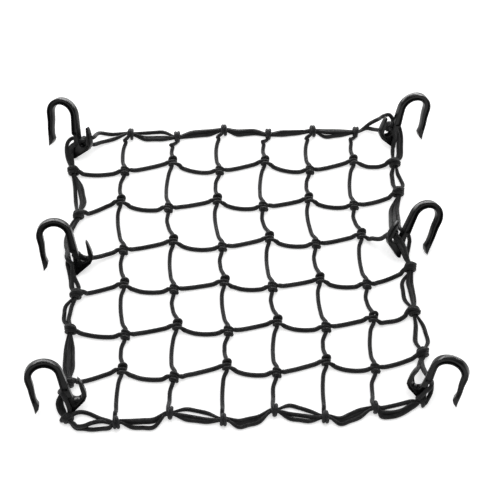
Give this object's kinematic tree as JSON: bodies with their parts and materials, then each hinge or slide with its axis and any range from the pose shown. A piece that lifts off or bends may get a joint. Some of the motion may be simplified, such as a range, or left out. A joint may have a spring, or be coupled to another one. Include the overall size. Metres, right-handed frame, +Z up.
{
  "type": "cargo net",
  "caption": "Square knotted elastic cord net with a bundled cord border and moulded clip-on hooks, for tying loads to a rack.",
  "frame": {"origin": "middle of the underside of the box round the net and its hooks, on the ground", "axes": "+X to the right along the front border, +Y from front to back, +Z up from the ground"},
  "size_m": [0.487, 0.426, 0.0726],
  "materials": {
    "cross_cord": "braided polyester sheath over rubber, matt with a faint sheen",
    "down_cord": "braided polyester sheath over rubber, a little paler",
    "border_cord": "braided polyester sheath over rubber, laid in a bundle",
    "hook_plastic": "injection moulded nylon, semi-gloss"
  },
  "bodies": {
    "root": {"cross_cord_1": "cross_cord", "cross_cord_2": "cross_cord", "cross_cord_3": "cross_cord", "cross_cord_4": "cross_cord", "cross_cord_5": "cross_cord", "cross_cord_6": "cross_cord", "down_cord_1": "down_cord", "down_cord_2": "down_cord", "down_cord_3": "down_cord", "down_cord_4": "down_cord", "down_cord_5": "down_cord", "down_cord_6": "down_cord", "border_left": "border_cord", "border_right": "border_cord", "border_back": "border_cord", "border_front": "border_cord", "hook_back_left": "hook_plastic", "hook_middle_left": "hook_plastic", "hook_front_left": "hook_plastic", "hook_back_right": "hook_plastic", "hook_middle_right": "hook_plastic", "hook_front_right": "hook_plastic"}
  },
  "joints": []
}
